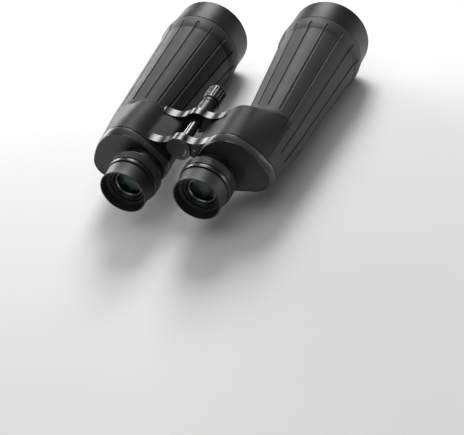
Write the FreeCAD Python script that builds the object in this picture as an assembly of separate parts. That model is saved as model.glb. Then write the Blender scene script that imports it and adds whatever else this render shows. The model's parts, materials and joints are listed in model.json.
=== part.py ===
"""Astronomy binoculars with individually focused eyepieces and 70 mm objectives.

Each half is a Porro telescope: rubber-armoured barrel, prism housing with a rear cover,
and a focusing eyepiece. The halves swing about a hinge shaft that runs along +Y.

Frame: +Y is the viewing direction, +X is right and +Z is up, as for a person holding them.
The origin is the mouth of the tripod thread, on the hinge axis. Stations along Y are given
below as distances forward of the eyecup rims, and save() moves them to the origin.
All lengths are in millimetres. Shapes are drawn for the right half and mirrored for the left.
"""
import FreeCAD, Part
import math
import os

V = FreeCAD.Vector

# ---------------------------------------------------------------- driving dimensions
EYE_X, EYE_Z = 36.2, -14.0          # eyepiece axis, from the hinge axis
OBJ_X, OBJ_Z = 67.6, -17.2          # objective axis, from the hinge axis
LENGTH = 281.3                      # eyecup rim to the front of the sleeve
APERTURE_R = 35.0                   # clear radius of the objective
LENS_R = 35.8                       # edge radius of the objective elements
EYE_LENS_R = 11.8

COVER_REAR_Y, COVER_FRONT_Y = 40.0, 48.0
COVER_WALL = 2.6
HOUSING_FULL_Y = 60.0               # from here forward the housing has its full hump
SHOULDER_Y, HOUSING_FRONT_Y = 95.0, 100.0
HOUSING_WALL = 3.0
SHELF_Y, SHELF_THICK = 68.0, 3.0    # prism shelf, rear face
SHELF_FRONT_Y = SHELF_Y + SHELF_THICK
SHELF_SCREWS, SCREW_R = ((40.0, 10.0), (79.8, -28.6), (50.0, -31.8)), 1.3

ARMOUR_REAR_Y, ARMOUR_STEP_Y, ARMOUR_FRONT_Y = 100.2, 229.0, 246.6
ARMOUR_REAR_R, ARMOUR_STEP_R, ARMOUR_LIP_R = 29.3, 40.05, 42.5
SWELL = ((41.5, 233.5), (42.3, 239.5))         # the armour's swelling in front of the step, (radius, y)
SPIGOT_R, SEAT_R = 25.0, 39.4       # ends of the barrel tube: in the housing, and under the sleeve
CELL_R, CELL_REAR_R = 37.2, 36.4    # the tube's two bores for the objective cell
SLEEVE_REAR_Y, CAP_SEAT_Y, SLEEVE_R = 247.3, 262.0, 41.1
ARMOUR_THICK, TUBE_WALL = 2.6, 2.0
TAPER_END_Y = 240.0                 # front end of the tube's last taper, up to the sleeve's seat
GROOVES, GROOVE_WIDTH, GROOVE_DEPTH = 16, 2.4, 1.0
GROOVE_FRONT_Y, GROOVE_FRONT_R = 238.0, 42.15
GROOVE_PHASE = {"right": 0.0, "left": 7.0}     # degrees outward from the top
# Where a groove starts, by degrees outward from the top. Those on the outer side start in the housing.
GROOVE_STARTS = ((-180, 110.0), (-30, 112.0), (0, 107.8), (22.5, 104.9), (45, 93.0), (62, 66.0),
                 (75, 63.0), (105, 63.0), (118, 66.0), (135, 93.0), (157.5, 105.0), (180, 110.0))

KNUCKLE_R, KNUCKLE_GAP = 11.0, 0.3
DOT, DOT_R = (14.6, -1.5), 1.1      # index dot on the right near lug
SHAFT_R, BUSH_R, SLEEVE_TUBE_R = 4.0, 5.2, 5.4
RUN_CLEARANCE = 0.05                # radial, in every turning or sliding fit
NEAR_LUG_Y, FAR_LUG_Y, LUG_WIDTH = 51.0, 91.5, 9.2
SHAFT_END_Y = FAR_LUG_Y + LUG_WIDTH + 16.0     # inside the tripod post
CAP_R, CAP_REAR_Y, CAP_FRONT_Y = 11.8, 48.8, 50.7
CAP_HEAD_R, CAP_SCREW_R = 3.4, 1.8
POST_R, POST_CORE_R = 8.4, 6.4
KNOB_R, KNOB_REAR_Y, KNOB_RIBS = 9.4, 123.4, 16
THREAD_MOUTH_Y, THREAD_R, THREAD_DEPTH = 143.0, 2.6, 14.0
INSERT_R = 4.4

BASE_R, BASE_REAR_Y = 19.0, 32.2    # fixed eyepiece base; it clears the ring at full travel
BASE_FLANGE_R = 19.9
BARREL_R, SLIDE_R = 15.9, 18.0      # lens barrel: under the ring, and where it slides in the base
RING_R, RING_REAR_Y, RING_FRONT_Y = 24.3, 16.2, 29.5
EYECUP_R, EYECUP_WALL = 22.0, 1.4

EYE = (EYE_X, EYE_Z)
OBJ = (OBJ_X, OBJ_Z)
HINGE = (0.0, 0.0)
SIDES = ("left", "right")

os.makedirs("parts", exist_ok=True)


# ---------------------------------------------------------------- helpers
def save(node, *shapes):
    """Write one node, moved from eyecup stations to the origin at the thread's mouth."""
    whole = shapes[0] if len(shapes) == 1 else Part.makeCompound(list(shapes))
    moved = whole.copy()
    moved.translate(V(0, -THREAD_MOUTH_Y, 0))
    moved.exportStep("parts/%s.step" % node)


def save_both(name, *shapes):
    """Write the right node as drawn and the left one mirrored."""
    save("right_" + name, *shapes)
    save("left_" + name, *[mirrored(s) for s in shapes])


def mirrored(shape):
    return shape.mirror(V(0, 0, 0), V(1, 0, 0))


def path(points, place):
    """A closed wire. A point is (a, b), or (mid, end) where an arc passes mid to end."""
    edges = []
    last = points[0]
    for item in list(points[1:]) + [points[0]]:
        if isinstance(item[0], tuple):
            mid, end = item
            edges.append(Part.Arc(place(last), place(mid), place(end)).toShape())
        else:
            end = item
            if end != last:
                edges.append(Part.LineSegment(place(last), place(end)).toShape())
        last = end
    return Part.Wire(edges)


def turned(profile, centre=HINGE):
    """Revolve a closed (radius, y) profile about the Y-parallel axis through centre."""
    face = Part.Face(path(profile, lambda p: V(p[0], p[1], 0)))
    solid = face.revolve(V(0, 0, 0), V(0, 1, 0), 360)
    solid.translate(V(centre[0], 0, centre[1]))
    return solid


def ring(r_in, r_out, y0, y1, centre=HINGE):
    if r_in == 0:
        return rod(r_out, y0, y1, centre)
    return turned([(r_in, y0), (r_out, y0), (r_out, y1), (r_in, y1)], centre)


def rod(radius, y0, y1, centre=HINGE):
    return Part.makeCylinder(radius, y1 - y0, V(centre[0], y0, centre[1]), V(0, 1, 0))


def section(points, y):
    """A closed wire across the body at station y, from (x, z) points and arcs."""
    return path(points, lambda p: V(p[0], y, p[1]))


def moved_points(points, rule):
    """Apply rule to every point of an outline, arc middles included."""
    return [tuple(rule(p) for p in item) if isinstance(item[0], tuple) else rule(item)
            for item in points]


def pulled_in(points, distance, centre):
    """The outline with each point moved towards centre by distance."""
    def rule(p):
        reach = math.hypot(centre[0] - p[0], centre[1] - p[1])
        share = distance / reach
        return (p[0] + (centre[0] - p[0]) * share, p[1] + (centre[1] - p[1]) * share)
    return moved_points(points, rule)


def loft(*sections):
    return Part.makeLoft(list(sections), True, True)


def around(radius, degrees, centre=OBJ):
    """A point on a circle about centre, degrees clockwise from +Z."""
    a = math.radians(degrees)
    return (centre[0] + radius * math.sin(a), centre[1] + radius * math.cos(a))


# ---------------------------------------------------------------- body outlines
# Each runs from the hump's inner corner over the top, down the outer side, along the
# bottom and up round the eyepiece to the flat wall that faces the hinge.
def outline(corner, top, right_end, slope, outer_top, outer, outer_low, heel, low, sole, inner, wall):
    return [corner, (top, right_end), (slope, outer_top), (outer, outer_low), (heel, low),
            sole, (inner, wall)]


BODY_CENTRE = (52.0, -10.0)
PLATE = outline((30.7, 10.3), (46.0, 18.9), (64.2, 16.7), (74.4, 8.4), (84.0, -6.2),
                (87.8, -17.5), (84.0, -27.0), (76.4, -31.6), (66.2, -33.6),
                (38.0, -35.2), (18.3, -26.0), (12.8, -12.0))
SEAM = outline((31.6, 12.0), (47.0, 21.7), (64.1, 18.9), (76.1, 8.9), (85.7, -4.0),
               (90.6, -17.5), (85.7, -29.9), (78.5, -35.6), (67.7, -39.5),
               (38.0, -38.8), (17.5, -28.0), (11.8, -12.0))
FULL = outline((32.6, 10.2), (47.4, 21.6), (64.1, 18.9), (77.2, 9.4), (87.0, -2.4),
               (92.4, -17.4), (87.0, -31.6), (79.0, -37.6), (67.7, -41.2),
               (38.0, -39.2), (15.0, -22.0), (12.6, 0.5))
SHOULDER = outline((32.6, 9.4), (47.0, 19.8), (62.5, 16.6), around(28.9, 20), around(28.9, 45),
                   around(28.9, 90), around(28.9, 135), around(28.9, 158), around(28.9, 180),
                   (38.0, -39.4), (15.2, -22.0), (12.6, 0.5))
NOSE = outline((33.6, 6.6), (48.0, 13.2), (62.5, 12.2), around(29.3, 20), around(29.3, 45),
               around(29.3, 90), around(29.3, 135), around(29.3, 158), around(29.3, 180),
               (38.0, -38.6), (17.6, -22.0), (15.0, -1.0))


def between(first, second, share):
    """The outline that lies the given share of the way from first to second."""
    def mix(p, q):
        return (p[0] + (q[0] - p[0]) * share, p[1] + (q[1] - p[1]) * share)
    return [tuple(mix(p, q) for p, q in zip(a, b)) if isinstance(a[0], tuple) else mix(a, b)
            for a, b in zip(first, second)]


# ---------------------------------------------------------------- grooves
def groove_angles(side):
    """Degrees outward from the top, between -180 and 180, of every groove on one barrel."""
    turns = [GROOVE_PHASE[side] + i * 360.0 / GROOVES for i in range(GROOVES)]
    return [(a + 180) % 360 - 180 for a in turns]


def groove_start(angle):
    """Station of a groove's rear end, between the two nearest entries of GROOVE_STARTS."""
    for (low, y0), (high, y1) in zip(GROOVE_STARTS, GROOVE_STARTS[1:]):
        if low <= angle <= high:
            return y0 + (y1 - y0) * (angle - low) / (high - low)


def groove_slot(angle, rear, front):
    """A straight slot, GROOVE_DEPTH into a surface that runs from rear to front, each (station, radius)."""
    floor = [(y, r - GROOVE_DEPTH) for y, r in (rear, front)]
    roof = [(y, r + 3 * GROOVE_DEPTH) for y, r in (front, rear)]
    points = [V(-GROOVE_WIDTH / 2, y, r) for y, r in floor + roof]
    slot = Part.Face(Part.makePolygon(points + [points[0]])).extrude(V(GROOVE_WIDTH, 0, 0))
    slot.rotate(V(0, 0, 0), V(0, 1, 0), angle)
    slot.translate(V(OBJ_X, 0, OBJ_Z))
    return slot


def reach(points, angle):
    """Distance from the objective axis to an outline, along one angle."""
    far = around(80.0, angle)
    ray = Part.makeLine(V(OBJ_X, 0, OBJ_Z), V(far[0], 0, far[1]))
    crossing = section(points, 0).distToShape(ray)[1][0][0]
    return math.hypot(crossing.x - OBJ_X, crossing.z - OBJ_Z)


def housing_grooves(side):
    """Rear parts of the outer grooves, in the two straight stretches of the housing's flank."""
    cuts = []
    for angle in groove_angles(side):
        start = groove_start(angle)
        if start >= SHOULDER_Y:
            continue
        full, shoulder = reach(FULL, angle), reach(SHOULDER, angle)
        share = (start - HOUSING_FULL_Y) / (SHOULDER_Y - HOUSING_FULL_Y)
        rear = (start, full + (shoulder - full) * share)
        middle = (SHOULDER_Y, shoulder)
        front = (ARMOUR_REAR_Y, armour_radius(ARMOUR_REAR_Y))
        cuts += [groove_slot(angle, rear, middle), groove_slot(angle, middle, front)]
    return cuts


# ---------------------------------------------------------------- hinge lugs
def lug_web(y0, y1):
    """The saddle-shaped arm from a knuckle to the housing wall."""
    profile = [(5.2, 9.69), ((9.8, 7.1), (16.0, 5.7)), ((24.5, 6.9), (32.0, 10.7)), (36.0, 9.0),
               (36.0, -9.0), (14.4, -11.2), (8.2, -7.33), (0.5, -2.0)]
    face = Part.Face(section(profile, y0))
    return face.extrude(V(0, y1 - y0, 0))


def lug(start, keeps_rear_half, bore):
    """One lug: a full-width arm, and a knuckle on one half of its width."""
    middle = start + LUG_WIDTH / 2
    end = start + LUG_WIDTH
    rear = (start, middle - KNUCKLE_GAP / 2)
    front = (middle + KNUCKLE_GAP / 2, end)
    own, other = (rear, front) if keeps_rear_half else (front, rear)
    pocket_start = other[0] - (1 if keeps_rear_half is False else KNUCKLE_GAP)
    pocket_end = other[1] + (1 if keeps_rear_half else KNUCKLE_GAP)
    body = lug_web(start, end).cut(rod(KNUCKLE_R + 0.35, pocket_start, pocket_end))
    return body.fuse(rod(KNUCKLE_R, *own)).cut(rod(bore, start - 1, end + 1))


def shelf_screw(centre):
    """A pan-head screw through the shelf into its boss."""
    head = rod(2.4, SHELF_Y - 1.8, SHELF_Y, centre)
    return head.fuse(rod(SCREW_R, SHELF_Y, SHELF_FRONT_Y + 5.0, centre))


def shelf_boss(screw):
    """A round seat for one screw, moved outward so that it grows from the housing's wall."""
    out = pulled_in([screw], -4.0, BODY_CENTRE)[0]
    return rod(7.5, SHELF_FRONT_Y, SHELF_FRONT_Y + 9.0, out)


def housing(side):
    """Shell with two half-width knuckles, open to the cover behind and to the barrel in front."""
    body = loft(section(SEAM, COVER_FRONT_Y + 0.1), section(FULL, HOUSING_FULL_Y),
                section(SHOULDER, SHOULDER_Y),
                section(between(SHOULDER, NOSE, 0.35), SHOULDER_Y + 3.0), section(NOSE, HOUSING_FRONT_Y))
    right = side == "right"
    bore = BUSH_R if right else SHAFT_R
    near = lug(NEAR_LUG_Y, not right, bore)
    far = lug(FAR_LUG_Y, right, bore)
    shell = body.fuse([near, far])
    inside = [pulled_in(o, HOUSING_WALL, BODY_CENTRE) for o in (SEAM, FULL, SHOULDER)]
    cavity = loft(section(inside[0], COVER_FRONT_Y - 1), section(inside[1], HOUSING_FULL_Y),
                  section(inside[2], SHOULDER_Y))
    mouth = rod(SPIGOT_R, SHOULDER_Y - 1, HOUSING_FRONT_Y + 1, OBJ)
    bosses = Part.makeCompound([shelf_boss(c) for c in SHELF_SCREWS]).common(body)
    shell = shell.cut([cavity, mouth]).fuse(bosses).cut([shelf_screw(c) for c in SHELF_SCREWS])
    if right:
        shell = shell.cut(rod(DOT_R, NEAR_LUG_Y - 1, NEAR_LUG_Y + 0.6, DOT))
    return shell.cut(housing_grooves(side))


def rear_cover():
    edge = pulled_in(PLATE, 1.0, BODY_CENTRE)
    outer = loft(section(edge, COVER_REAR_Y), section(PLATE, COVER_REAR_Y + 1.0),
                 section(SEAM, COVER_FRONT_Y - 0.1))
    inside = [pulled_in(o, HOUSING_WALL, BODY_CENTRE) for o in (PLATE, SEAM)]
    hollow = loft(section(inside[0], COVER_REAR_Y + COVER_WALL), section(inside[1], COVER_FRONT_Y))
    seat = rod(BASE_FLANGE_R, COVER_REAR_Y + COVER_WALL, COVER_FRONT_Y, EYE)
    return outer.cut([hollow, seat, rod(BASE_R, COVER_REAR_Y - 1, COVER_FRONT_Y, EYE)])


# ---------------------------------------------------------------- barrel
def armour_radius(y):
    """Outer radius of the armour: a cone up to the step behind the sleeve."""
    share = (y - ARMOUR_REAR_Y) / (ARMOUR_STEP_Y - ARMOUR_REAR_Y)
    return ARMOUR_REAR_R + (ARMOUR_STEP_R - ARMOUR_REAR_R) * share


def barrel_armour(side):
    rear, step = ARMOUR_REAR_Y, ARMOUR_STEP_Y
    body = turned([(tube_radius(rear), rear), (armour_radius(rear) - 0.8, rear),
                   (armour_radius(rear + 1), rear + 1), (armour_radius(step), step),
                   SWELL, (ARMOUR_LIP_R, ARMOUR_FRONT_Y - 0.6),
                   (ARMOUR_LIP_R - 0.5, ARMOUR_FRONT_Y), (SEAT_R, ARMOUR_FRONT_Y), (SEAT_R, TAPER_END_Y),
                   (tube_radius(step), step)], OBJ)
    cuts = []
    for angle in groove_angles(side):
        start = max(groove_start(angle), ARMOUR_REAR_Y - 1)
        middle = (step, ARMOUR_STEP_R)
        cuts.append(groove_slot(angle, (start, armour_radius(start)), middle))
        cuts.append(groove_slot(angle, middle, (GROOVE_FRONT_Y, GROOVE_FRONT_R)))
    return body.cut(cuts)


def tube_radius(y):
    """Outer radius of the tapered tube, under the armour."""
    return armour_radius(y) - ARMOUR_THICK


def barrel_tube():
    """Tapered tube: a spigot in the housing's front wall, and a seat for the sleeve."""
    rear, taper_start, step = ARMOUR_REAR_Y, ARMOUR_REAR_Y + 2, ARMOUR_STEP_Y
    return turned([(SPIGOT_R, rear - 4.2), (SPIGOT_R, rear), (tube_radius(rear), rear),
                   (tube_radius(step), step), (SEAT_R, TAPER_END_Y), (SEAT_R, CAP_SEAT_Y),
                   (CELL_R, CAP_SEAT_Y), (CELL_R, 249.0), (CELL_REAR_R, 249.0),
                   (CELL_REAR_R, TAPER_END_Y), (tube_radius(step) - TUBE_WALL, step),
                   (tube_radius(taper_start) - TUBE_WALL, taper_start),
                   (SPIGOT_R - 1.8, rear), (SPIGOT_R - 1.8, rear - 4.2)], OBJ)


def front_sleeve():
    """Front sleeve with a plain rolled rim; a dust cap slips over its last part."""
    return turned([(SEAT_R, SLEEVE_REAR_Y), (42.0, SLEEVE_REAR_Y), (42.3, SLEEVE_REAR_Y + 0.8),
                   (SLEEVE_R, CAP_SEAT_Y), (SLEEVE_R, LENGTH - 2.2), ((40.7, LENGTH - 0.5), (39.9, LENGTH)),
                   ((39.1, LENGTH - 0.4), (38.8, LENGTH - 1.4)), (38.3, 264.0), (SEAT_R, 262.4)], OBJ)


def ball(vertex_y, rim_radius, sag, centre):
    """The sphere whose cap of height sag and rim radius touches vertex_y; it lies forward for sag > 0."""
    radius = (rim_radius ** 2 + sag ** 2) / (2 * abs(sag))
    return Part.makeSphere(radius, V(centre[0], vertex_y + math.copysign(radius, sag), centre[1]))


def crown_lens():
    """Biconvex front element."""
    blank = rod(LENS_R, 252.0, 262.0, OBJ)
    return blank.common(ball(252.2, LENS_R, 3.4, OBJ)).common(ball(262.0, LENS_R, -4.6, OBJ))


def flint_lens():
    """Rear element, hollow on both faces, nested behind the crown."""
    blank = rod(LENS_R, 246.0, 255.0, OBJ)
    return blank.cut([ball(251.6, LENS_R, 3.4, OBJ), ball(246.8, LENS_R, -0.8, OBJ)])


def lens_spacer():
    """Thin ring between the elements, shaped to the crown's rear face."""
    return ring(35.2, LENS_R, 255.0, 255.6, OBJ).cut(ball(252.2, LENS_R, 3.4, OBJ))


def objective_cell():
    """Threaded ring that holds both elements against its rear lip."""
    return turned([(LENS_R - 1.2, 244.6), (CELL_REAR_R, 244.6), (CELL_REAR_R, 249.0), (CELL_R, 249.0),
                   (CELL_R, 262.9), (LENS_R, 262.9), (LENS_R, 246.0), (LENS_R - 1.2, 246.0)], OBJ)


def objective_retaining_ring():
    return turned([(APERTURE_R, 257.7), (LENS_R, 257.5), (LENS_R, 263.0), (37.1, 263.0), (37.1, 264.4),
                   (36.0, 264.4), (APERTURE_R, 262.8)], OBJ)


BAFFLE_STATIONS = (160.0, 200.0)


def light_baffle(y):
    bore = tube_radius(y) - TUBE_WALL
    return ring(bore - 4.0, bore, y, y + 1.0, OBJ)


# ---------------------------------------------------------------- prisms
def porro_offsets():
    """Two equal square steps that carry the beam from the objective axis to the eyepiece axis."""
    dx, dz = EYE_X - OBJ_X, EYE_Z - OBJ_Z
    first = ((dx + dz) / 2, (dz - dx) / 2)
    second = ((dx - dz) / 2, (dz + dx) / 2)
    return first, second


FIRST_STEP, SECOND_STEP = porro_offsets()
PRISM_HALF_WIDTH = 11.0


def step_middle(start, step):
    return (start[0] + step[0] / 2, start[1] + step[1] / 2)


def prism(start, step, face_y, towards):
    """A right-angle prism on face_y: its long face spans step, and its roof points towards."""
    length = math.hypot(*step)
    u = (step[0] / length, step[1] / length)
    n = (-u[1], u[0])
    mid = step_middle(start, step)
    reach = length * 0.985

    def corner(along, y):
        return V(mid[0] + u[0] * along - n[0] * PRISM_HALF_WIDTH, y,
                 mid[1] + u[1] * along - n[1] * PRISM_HALF_WIDTH)

    triangle = Part.makePolygon([corner(-reach, face_y), corner(reach, face_y),
                                 corner(0, face_y + towards * reach), corner(-reach, face_y)])
    return Part.Face(triangle).extrude(V(n[0] * 2 * PRISM_HALF_WIDTH, 0, n[1] * 2 * PRISM_HALF_WIDTH))


MIDDLE_AXIS = (OBJ_X + FIRST_STEP[0], OBJ_Z + FIRST_STEP[1])


def prism_shelf():
    """Plate across the housing, with three light holes and lugs for its screws."""
    plate = section(pulled_in(FULL, HOUSING_WALL + 0.8, BODY_CENTRE), SHELF_Y)
    shelf = Part.Face(plate).extrude(V(0, SHELF_THICK, 0))
    holes = [rod(8.6, SHELF_Y - 1, SHELF_FRONT_Y + 1, axis) for axis in (OBJ, MIDDLE_AXIS, EYE)]
    screws = [rod(SCREW_R, SHELF_Y - 1, SHELF_FRONT_Y + 1, c) for c in SHELF_SCREWS]
    return shelf.cut(holes + screws)


def prism_clip(start, step, face_y, towards):
    """A spring strap over a prism's roof edge, bent down to the shelf on both sides."""
    length = math.hypot(*step)
    u = (step[0] / length, step[1] / length)
    n = (-u[1], u[0])
    mid = step_middle(start, step)
    half, thick, width = PRISM_HALF_WIDTH + 0.1, 0.7, 6.0
    top = face_y + towards * (length * 0.985 + 0.1)

    def block(along_n0, along_n1, y0, y1):
        low, high = min(y0, y1), max(y0, y1)
        corners = [(-width / 2, along_n0), (width / 2, along_n0),
                   (width / 2, along_n1), (-width / 2, along_n1)]
        points = [V(mid[0] + u[0] * a + n[0] * b, low, mid[1] + u[1] * a + n[1] * b)
                  for a, b in corners]
        return Part.Face(Part.makePolygon(points + [points[0]])).extrude(V(0, high - low, 0))

    bridge = block(-half - thick, half + thick, top, top + towards * thick)
    legs = [block(s * half, s * (half + thick), face_y, top + towards * thick) for s in (-1, 1)]
    return bridge.fuse(legs)


# ---------------------------------------------------------------- eyepiece
def eyepiece_base():
    """Fixed tube through the cover, with a flange inside it; the lens barrel slides in its bore."""
    bore = SLIDE_R + RUN_CLEARANCE
    flange_rear = COVER_REAR_Y + COVER_WALL
    return turned([(bore, BASE_REAR_Y), (BASE_R - 0.3, BASE_REAR_Y), (BASE_R, BASE_REAR_Y + 0.3),
                   (BASE_R, flange_rear), (BASE_FLANGE_R, flange_rear),
                   (BASE_FLANGE_R, flange_rear + 1.8), (bore, flange_rear + 1.8)], EYE)


def focus_ring():
    """Knurled ring that turns on the lens barrel; the eyecup grips its rear spigot."""
    bore = BARREL_R + RUN_CLEARANCE
    skirt = SLIDE_R + RUN_CLEARANCE
    return turned([(bore, 10.4), (18.4, 10.4), (18.4, RING_REAR_Y), (23.0, RING_REAR_Y),
                   (23.5, RING_REAR_Y + 0.5), (23.6, 19.6), (RING_R, 20.4), (RING_R, 28.9),
                   (RING_R - 0.6, RING_FRONT_Y), (skirt, RING_FRONT_Y), (skirt, 19.0), (bore, 19.0)], EYE)


def eyecup():
    """Fold-down rubber cup with a thin flared wall and a stepped floor."""
    r, w = EYECUP_R, EYECUP_WALL
    return turned([(18.4, 15.6), (r + 0.3, 15.6), (r + 0.5, 15.2), (r - 0.4, 5.0), (r - 0.1, 1.6),
                   ((r + 0.25, 0.5), (r - 0.5, 0)), ((r - 1.1, 0.3), (r - 1.3, 1.2)), (r - 0.4 - w, 5.0),
                   (r - 0.6 - w, 8.0), (17.2, 8.6), (17.0, 10.2), (18.4, 10.2)], EYE)


def lens_barrel():
    """Sliding barrel that carries the eyepiece lenses; a collar and a shoulder keep the ring on it."""
    r = BARREL_R
    front, web = 42.4, 22.0
    return turned([(13.0, 12.2), (14.8, 9.6), (r + 0.8, 9.6), (r + 0.8, 10.2), (r, 10.2), (r, 19.2),
                   (SLIDE_R, 19.2), (SLIDE_R, front), (16.4, front), (16.4, web), (13.8, web),
                   (13.8, front), (12.6, front), (12.6, 40.0), (EYE_LENS_R, 40.0),
                   (EYE_LENS_R, 13.4), (13.0, 13.4)], EYE)


def eye_lens():
    return rod(EYE_LENS_R, 13.9, 18.6, EYE).common(ball(13.9, EYE_LENS_R, 1.7, EYE))


def field_lens():
    return rod(EYE_LENS_R, 30.0, 38.0, EYE).common(ball(38.0, EYE_LENS_R, -2.2, EYE))


def eye_retaining_ring():
    return turned([(11.3, 12.6), (12.2, 11.8), (12.9, 12.0), (12.9, 13.4), (11.7, 13.4), (11.7, 15.3),
                   (11.3, 15.0)], EYE)


# ---------------------------------------------------------------- hinge and tripod post
def scale_cap():
    """Closed disc on the rear end of the hinge, with a pocket behind its face for the screw's head."""
    pocket_y = CAP_FRONT_Y - 1.0
    return turned([(0, CAP_REAR_Y + 0.2), (6.4, CAP_REAR_Y + 0.2), (6.6, CAP_REAR_Y), (CAP_R - 0.8, CAP_REAR_Y),
                   ((CAP_R - 0.2, CAP_REAR_Y + 0.25), (CAP_R, CAP_REAR_Y + 0.9)), (CAP_R, CAP_FRONT_Y),
                   (CAP_HEAD_R, CAP_FRONT_Y), (CAP_HEAD_R, pocket_y), (0, pocket_y)])


def cap_screw():
    """Screw under the disc, with its head on the end of the shaft."""
    head = rod(CAP_HEAD_R, CAP_FRONT_Y - 0.9, CAP_FRONT_Y)
    return head.fuse(rod(CAP_SCREW_R, CAP_FRONT_Y, NEAR_LUG_Y + 8.0))


def hinge_shaft():
    shaft = rod(SHAFT_R, CAP_FRONT_Y, SHAFT_END_Y)
    return shaft.cut(rod(CAP_SCREW_R, NEAR_LUG_Y - 1, NEAR_LUG_Y + 8.0))


def tripod_post():
    """Neck in front of the far knuckle, turned down to a core that the knob runs on."""
    start = FAR_LUG_Y + LUG_WIDTH + 0.1
    step = KNOB_REAR_Y - 0.2
    return turned([(SHAFT_R, start), (POST_R, start), (POST_R, step - 0.5), (POST_R - 0.5, step),
                   (POST_CORE_R, step), (POST_CORE_R, 140.4), (5.8, 140.4), (5.8, 141.4),
                   (POST_CORE_R, 141.4), (POST_CORE_R, THREAD_MOUTH_Y), (INSERT_R, THREAD_MOUTH_Y),
                   (INSERT_R, SHAFT_END_Y), (SHAFT_R, SHAFT_END_Y)])


def thread_insert():
    """Brass bush with the tripod thread, blind at its rear end."""
    bush = rod(INSERT_R, THREAD_MOUTH_Y - 18.0, THREAD_MOUTH_Y)
    return bush.cut(rod(THREAD_R, THREAD_MOUTH_Y - THREAD_DEPTH, THREAD_MOUTH_Y + 1))


def tension_knob():
    front = 140.3
    bore = POST_CORE_R + RUN_CLEARANCE
    body = turned([(bore, KNOB_REAR_Y), (KNOB_R - 1.0, KNOB_REAR_Y), (KNOB_R, KNOB_REAR_Y + 1.0),
                   (KNOB_R, front), (KNOB_R - 0.4, front + 1.4), (8.2, front + 1.8), (8.2, front),
                   (bore, front)])
    cuts = []
    for i in range(KNOB_RIBS):
        flute = rod(0.75, KNOB_REAR_Y + 1.8, front - 0.6, (0, KNOB_R + 0.15))
        flute.rotate(V(0, 0, 0), V(0, 1, 0), i * 360.0 / KNOB_RIBS)
        cuts.append(flute)
    return body.cut(cuts)


# ---------------------------------------------------------------- write every node
for side in SIDES:
    drawn = {"prism_housing": housing(side), "barrel_armour": barrel_armour(side)}
    for name, shape in drawn.items():
        save(side + "_" + name, shape if side == "right" else mirrored(shape))

save_both("rear_cover", rear_cover())
save_both("barrel_tube", barrel_tube())
save_both("front_sleeve", front_sleeve())
save_both("objective_cell", objective_cell())
save_both("crown_lens", crown_lens())
save_both("flint_lens", flint_lens())
save_both("lens_spacer", lens_spacer())
save_both("objective_retaining_ring", objective_retaining_ring())
save_both("objective_o_ring", ring(37.2, 38.2, 262.1, 263.1, OBJ))
save_both("light_baffles", *[light_baffle(y) for y in BAFFLE_STATIONS])

save_both("prism_shelf", prism_shelf())
save_both("rear_prism", prism(OBJ, FIRST_STEP, SHELF_Y - 0.05, -1))
save_both("front_prism", prism(MIDDLE_AXIS, SECOND_STEP, SHELF_FRONT_Y + 0.05, 1))
save_both("prism_clips", prism_clip(OBJ, FIRST_STEP, SHELF_Y, -1),
          prism_clip(MIDDLE_AXIS, SECOND_STEP, SHELF_FRONT_Y, 1))
save_both("shelf_screws", *[shelf_screw(c) for c in SHELF_SCREWS])

save_both("eyepiece_base", eyepiece_base())
save_both("focus_ring", focus_ring())
save_both("eyecup", eyecup())
save_both("lens_barrel", lens_barrel())
save_both("eye_lens", eye_lens())
save_both("field_lens", field_lens())
save_both("eye_retaining_ring", eye_retaining_ring())

save("hinge_shaft", hinge_shaft())
save("hinge_sleeve", ring(SHAFT_R, SLEEVE_TUBE_R, NEAR_LUG_Y + LUG_WIDTH + 0.3, FAR_LUG_Y - 0.3))
near_middle = NEAR_LUG_Y + LUG_WIDTH / 2
far_middle = FAR_LUG_Y + LUG_WIDTH / 2
save("hinge_washers", ring(SHAFT_R, 10.0, near_middle - 0.1, near_middle + 0.1),
     ring(SHAFT_R, 10.0, far_middle - 0.1, far_middle + 0.1))
save("hinge_bushes", ring(SHAFT_R + RUN_CLEARANCE, BUSH_R, near_middle + 0.15, NEAR_LUG_Y + LUG_WIDTH),
     ring(SHAFT_R + RUN_CLEARANCE, BUSH_R, FAR_LUG_Y, far_middle - 0.15))
save("scale_cap", scale_cap())
save("cap_screw", cap_screw())
save("index_dot", rod(DOT_R, NEAR_LUG_Y + 0.05, NEAR_LUG_Y + 0.6, DOT))
save("tripod_post", tripod_post())
save("thread_insert", thread_insert())
save("tension_knob", tension_knob())
save("knob_retaining_ring", ring(5.8, 7.8, 140.5, 141.3))
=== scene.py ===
"""The looks of a pair of astronomy binoculars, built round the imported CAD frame.

Shapes are drawn in millimetres for the right half and mirrored for the left. Stations along Y
are distances forward of the eyecup rims, as in the CAD source, and add_piece() moves them into
the row frame, in metres.
"""
import json
import math

import bmesh
import bpy
import numpy as np
from mathutils import Matrix, Vector


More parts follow.
